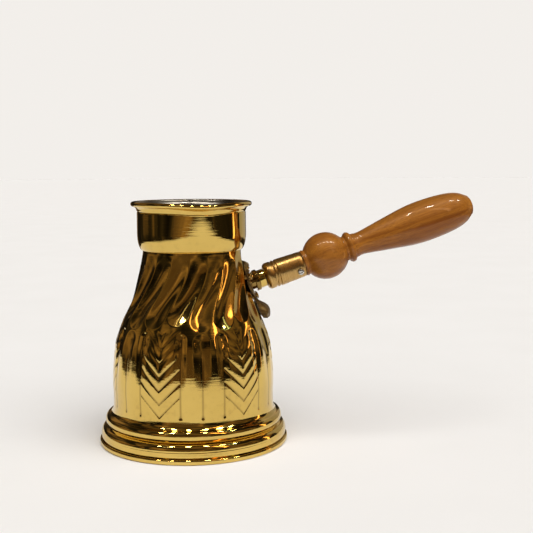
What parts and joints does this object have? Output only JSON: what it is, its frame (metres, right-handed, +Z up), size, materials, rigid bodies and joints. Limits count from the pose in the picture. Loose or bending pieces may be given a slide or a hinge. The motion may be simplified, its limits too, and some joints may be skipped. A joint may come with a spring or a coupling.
{
  "type": "turkish coffee pot",
  "caption": "Embossed brass coffee pot with a swirled shoulder, plain collar, moulded foot and a turned wooden screw-in handle.",
  "frame": {"origin": "centre of the flat underside of the base plate, on the vessel's axis", "axes": "+Z up along the vessel's axis, +X towards the handle, -Y towards the pouring lip"},
  "size_m": [0.1947, 0.0944, 0.1227],
  "materials": {
    "polished_brass": "polished, with fine spin marks",
    "cast_brass": "cast, darkened in the hollows",
    "brushed_brass": "fine turned lines, slightly dull",
    "solder": "tin solder, satin",
    "steel": "bright zinc-plated steel",
    "varnished_wood": "warm honey brown, glossy varnish"
  },
  "bodies": {
    "pot": {"body_shell": "polished_brass", "base_plate": "polished_brass", "solder_seam": "solder", "bracket_plate": "cast_brass", "bracket_rivet_left": "cast_brass", "bracket_rivet_right": "cast_brass", "bracket_rivet_lower": "cast_brass", "bracket_boss": "polished_brass"},
    "stud": {"handle_stud": "steel"},
    "handle": {"ferrule": "brushed_brass", "ferrule_screw": "steel", "handle_grip": "varnished_wood"}
  },
  "joints": [
    {"name": "handle_advance", "type": "slide", "parent": "pot", "child": "stud", "axis": [0.9511, 0, 0.309], "range_m": [0, 0.008]},
    {"name": "handle_turn", "type": "hinge", "parent": "stud", "child": "handle", "pos_m": [0.0288, 0, 0.0784], "axis": [0.9511, 0, 0.309], "range_deg": [0, 3600]}
  ],
  "couplings": [
    {"joint": "handle_turn", "follows": "handle_advance", "rad_per_m": 7854}
  ]
}
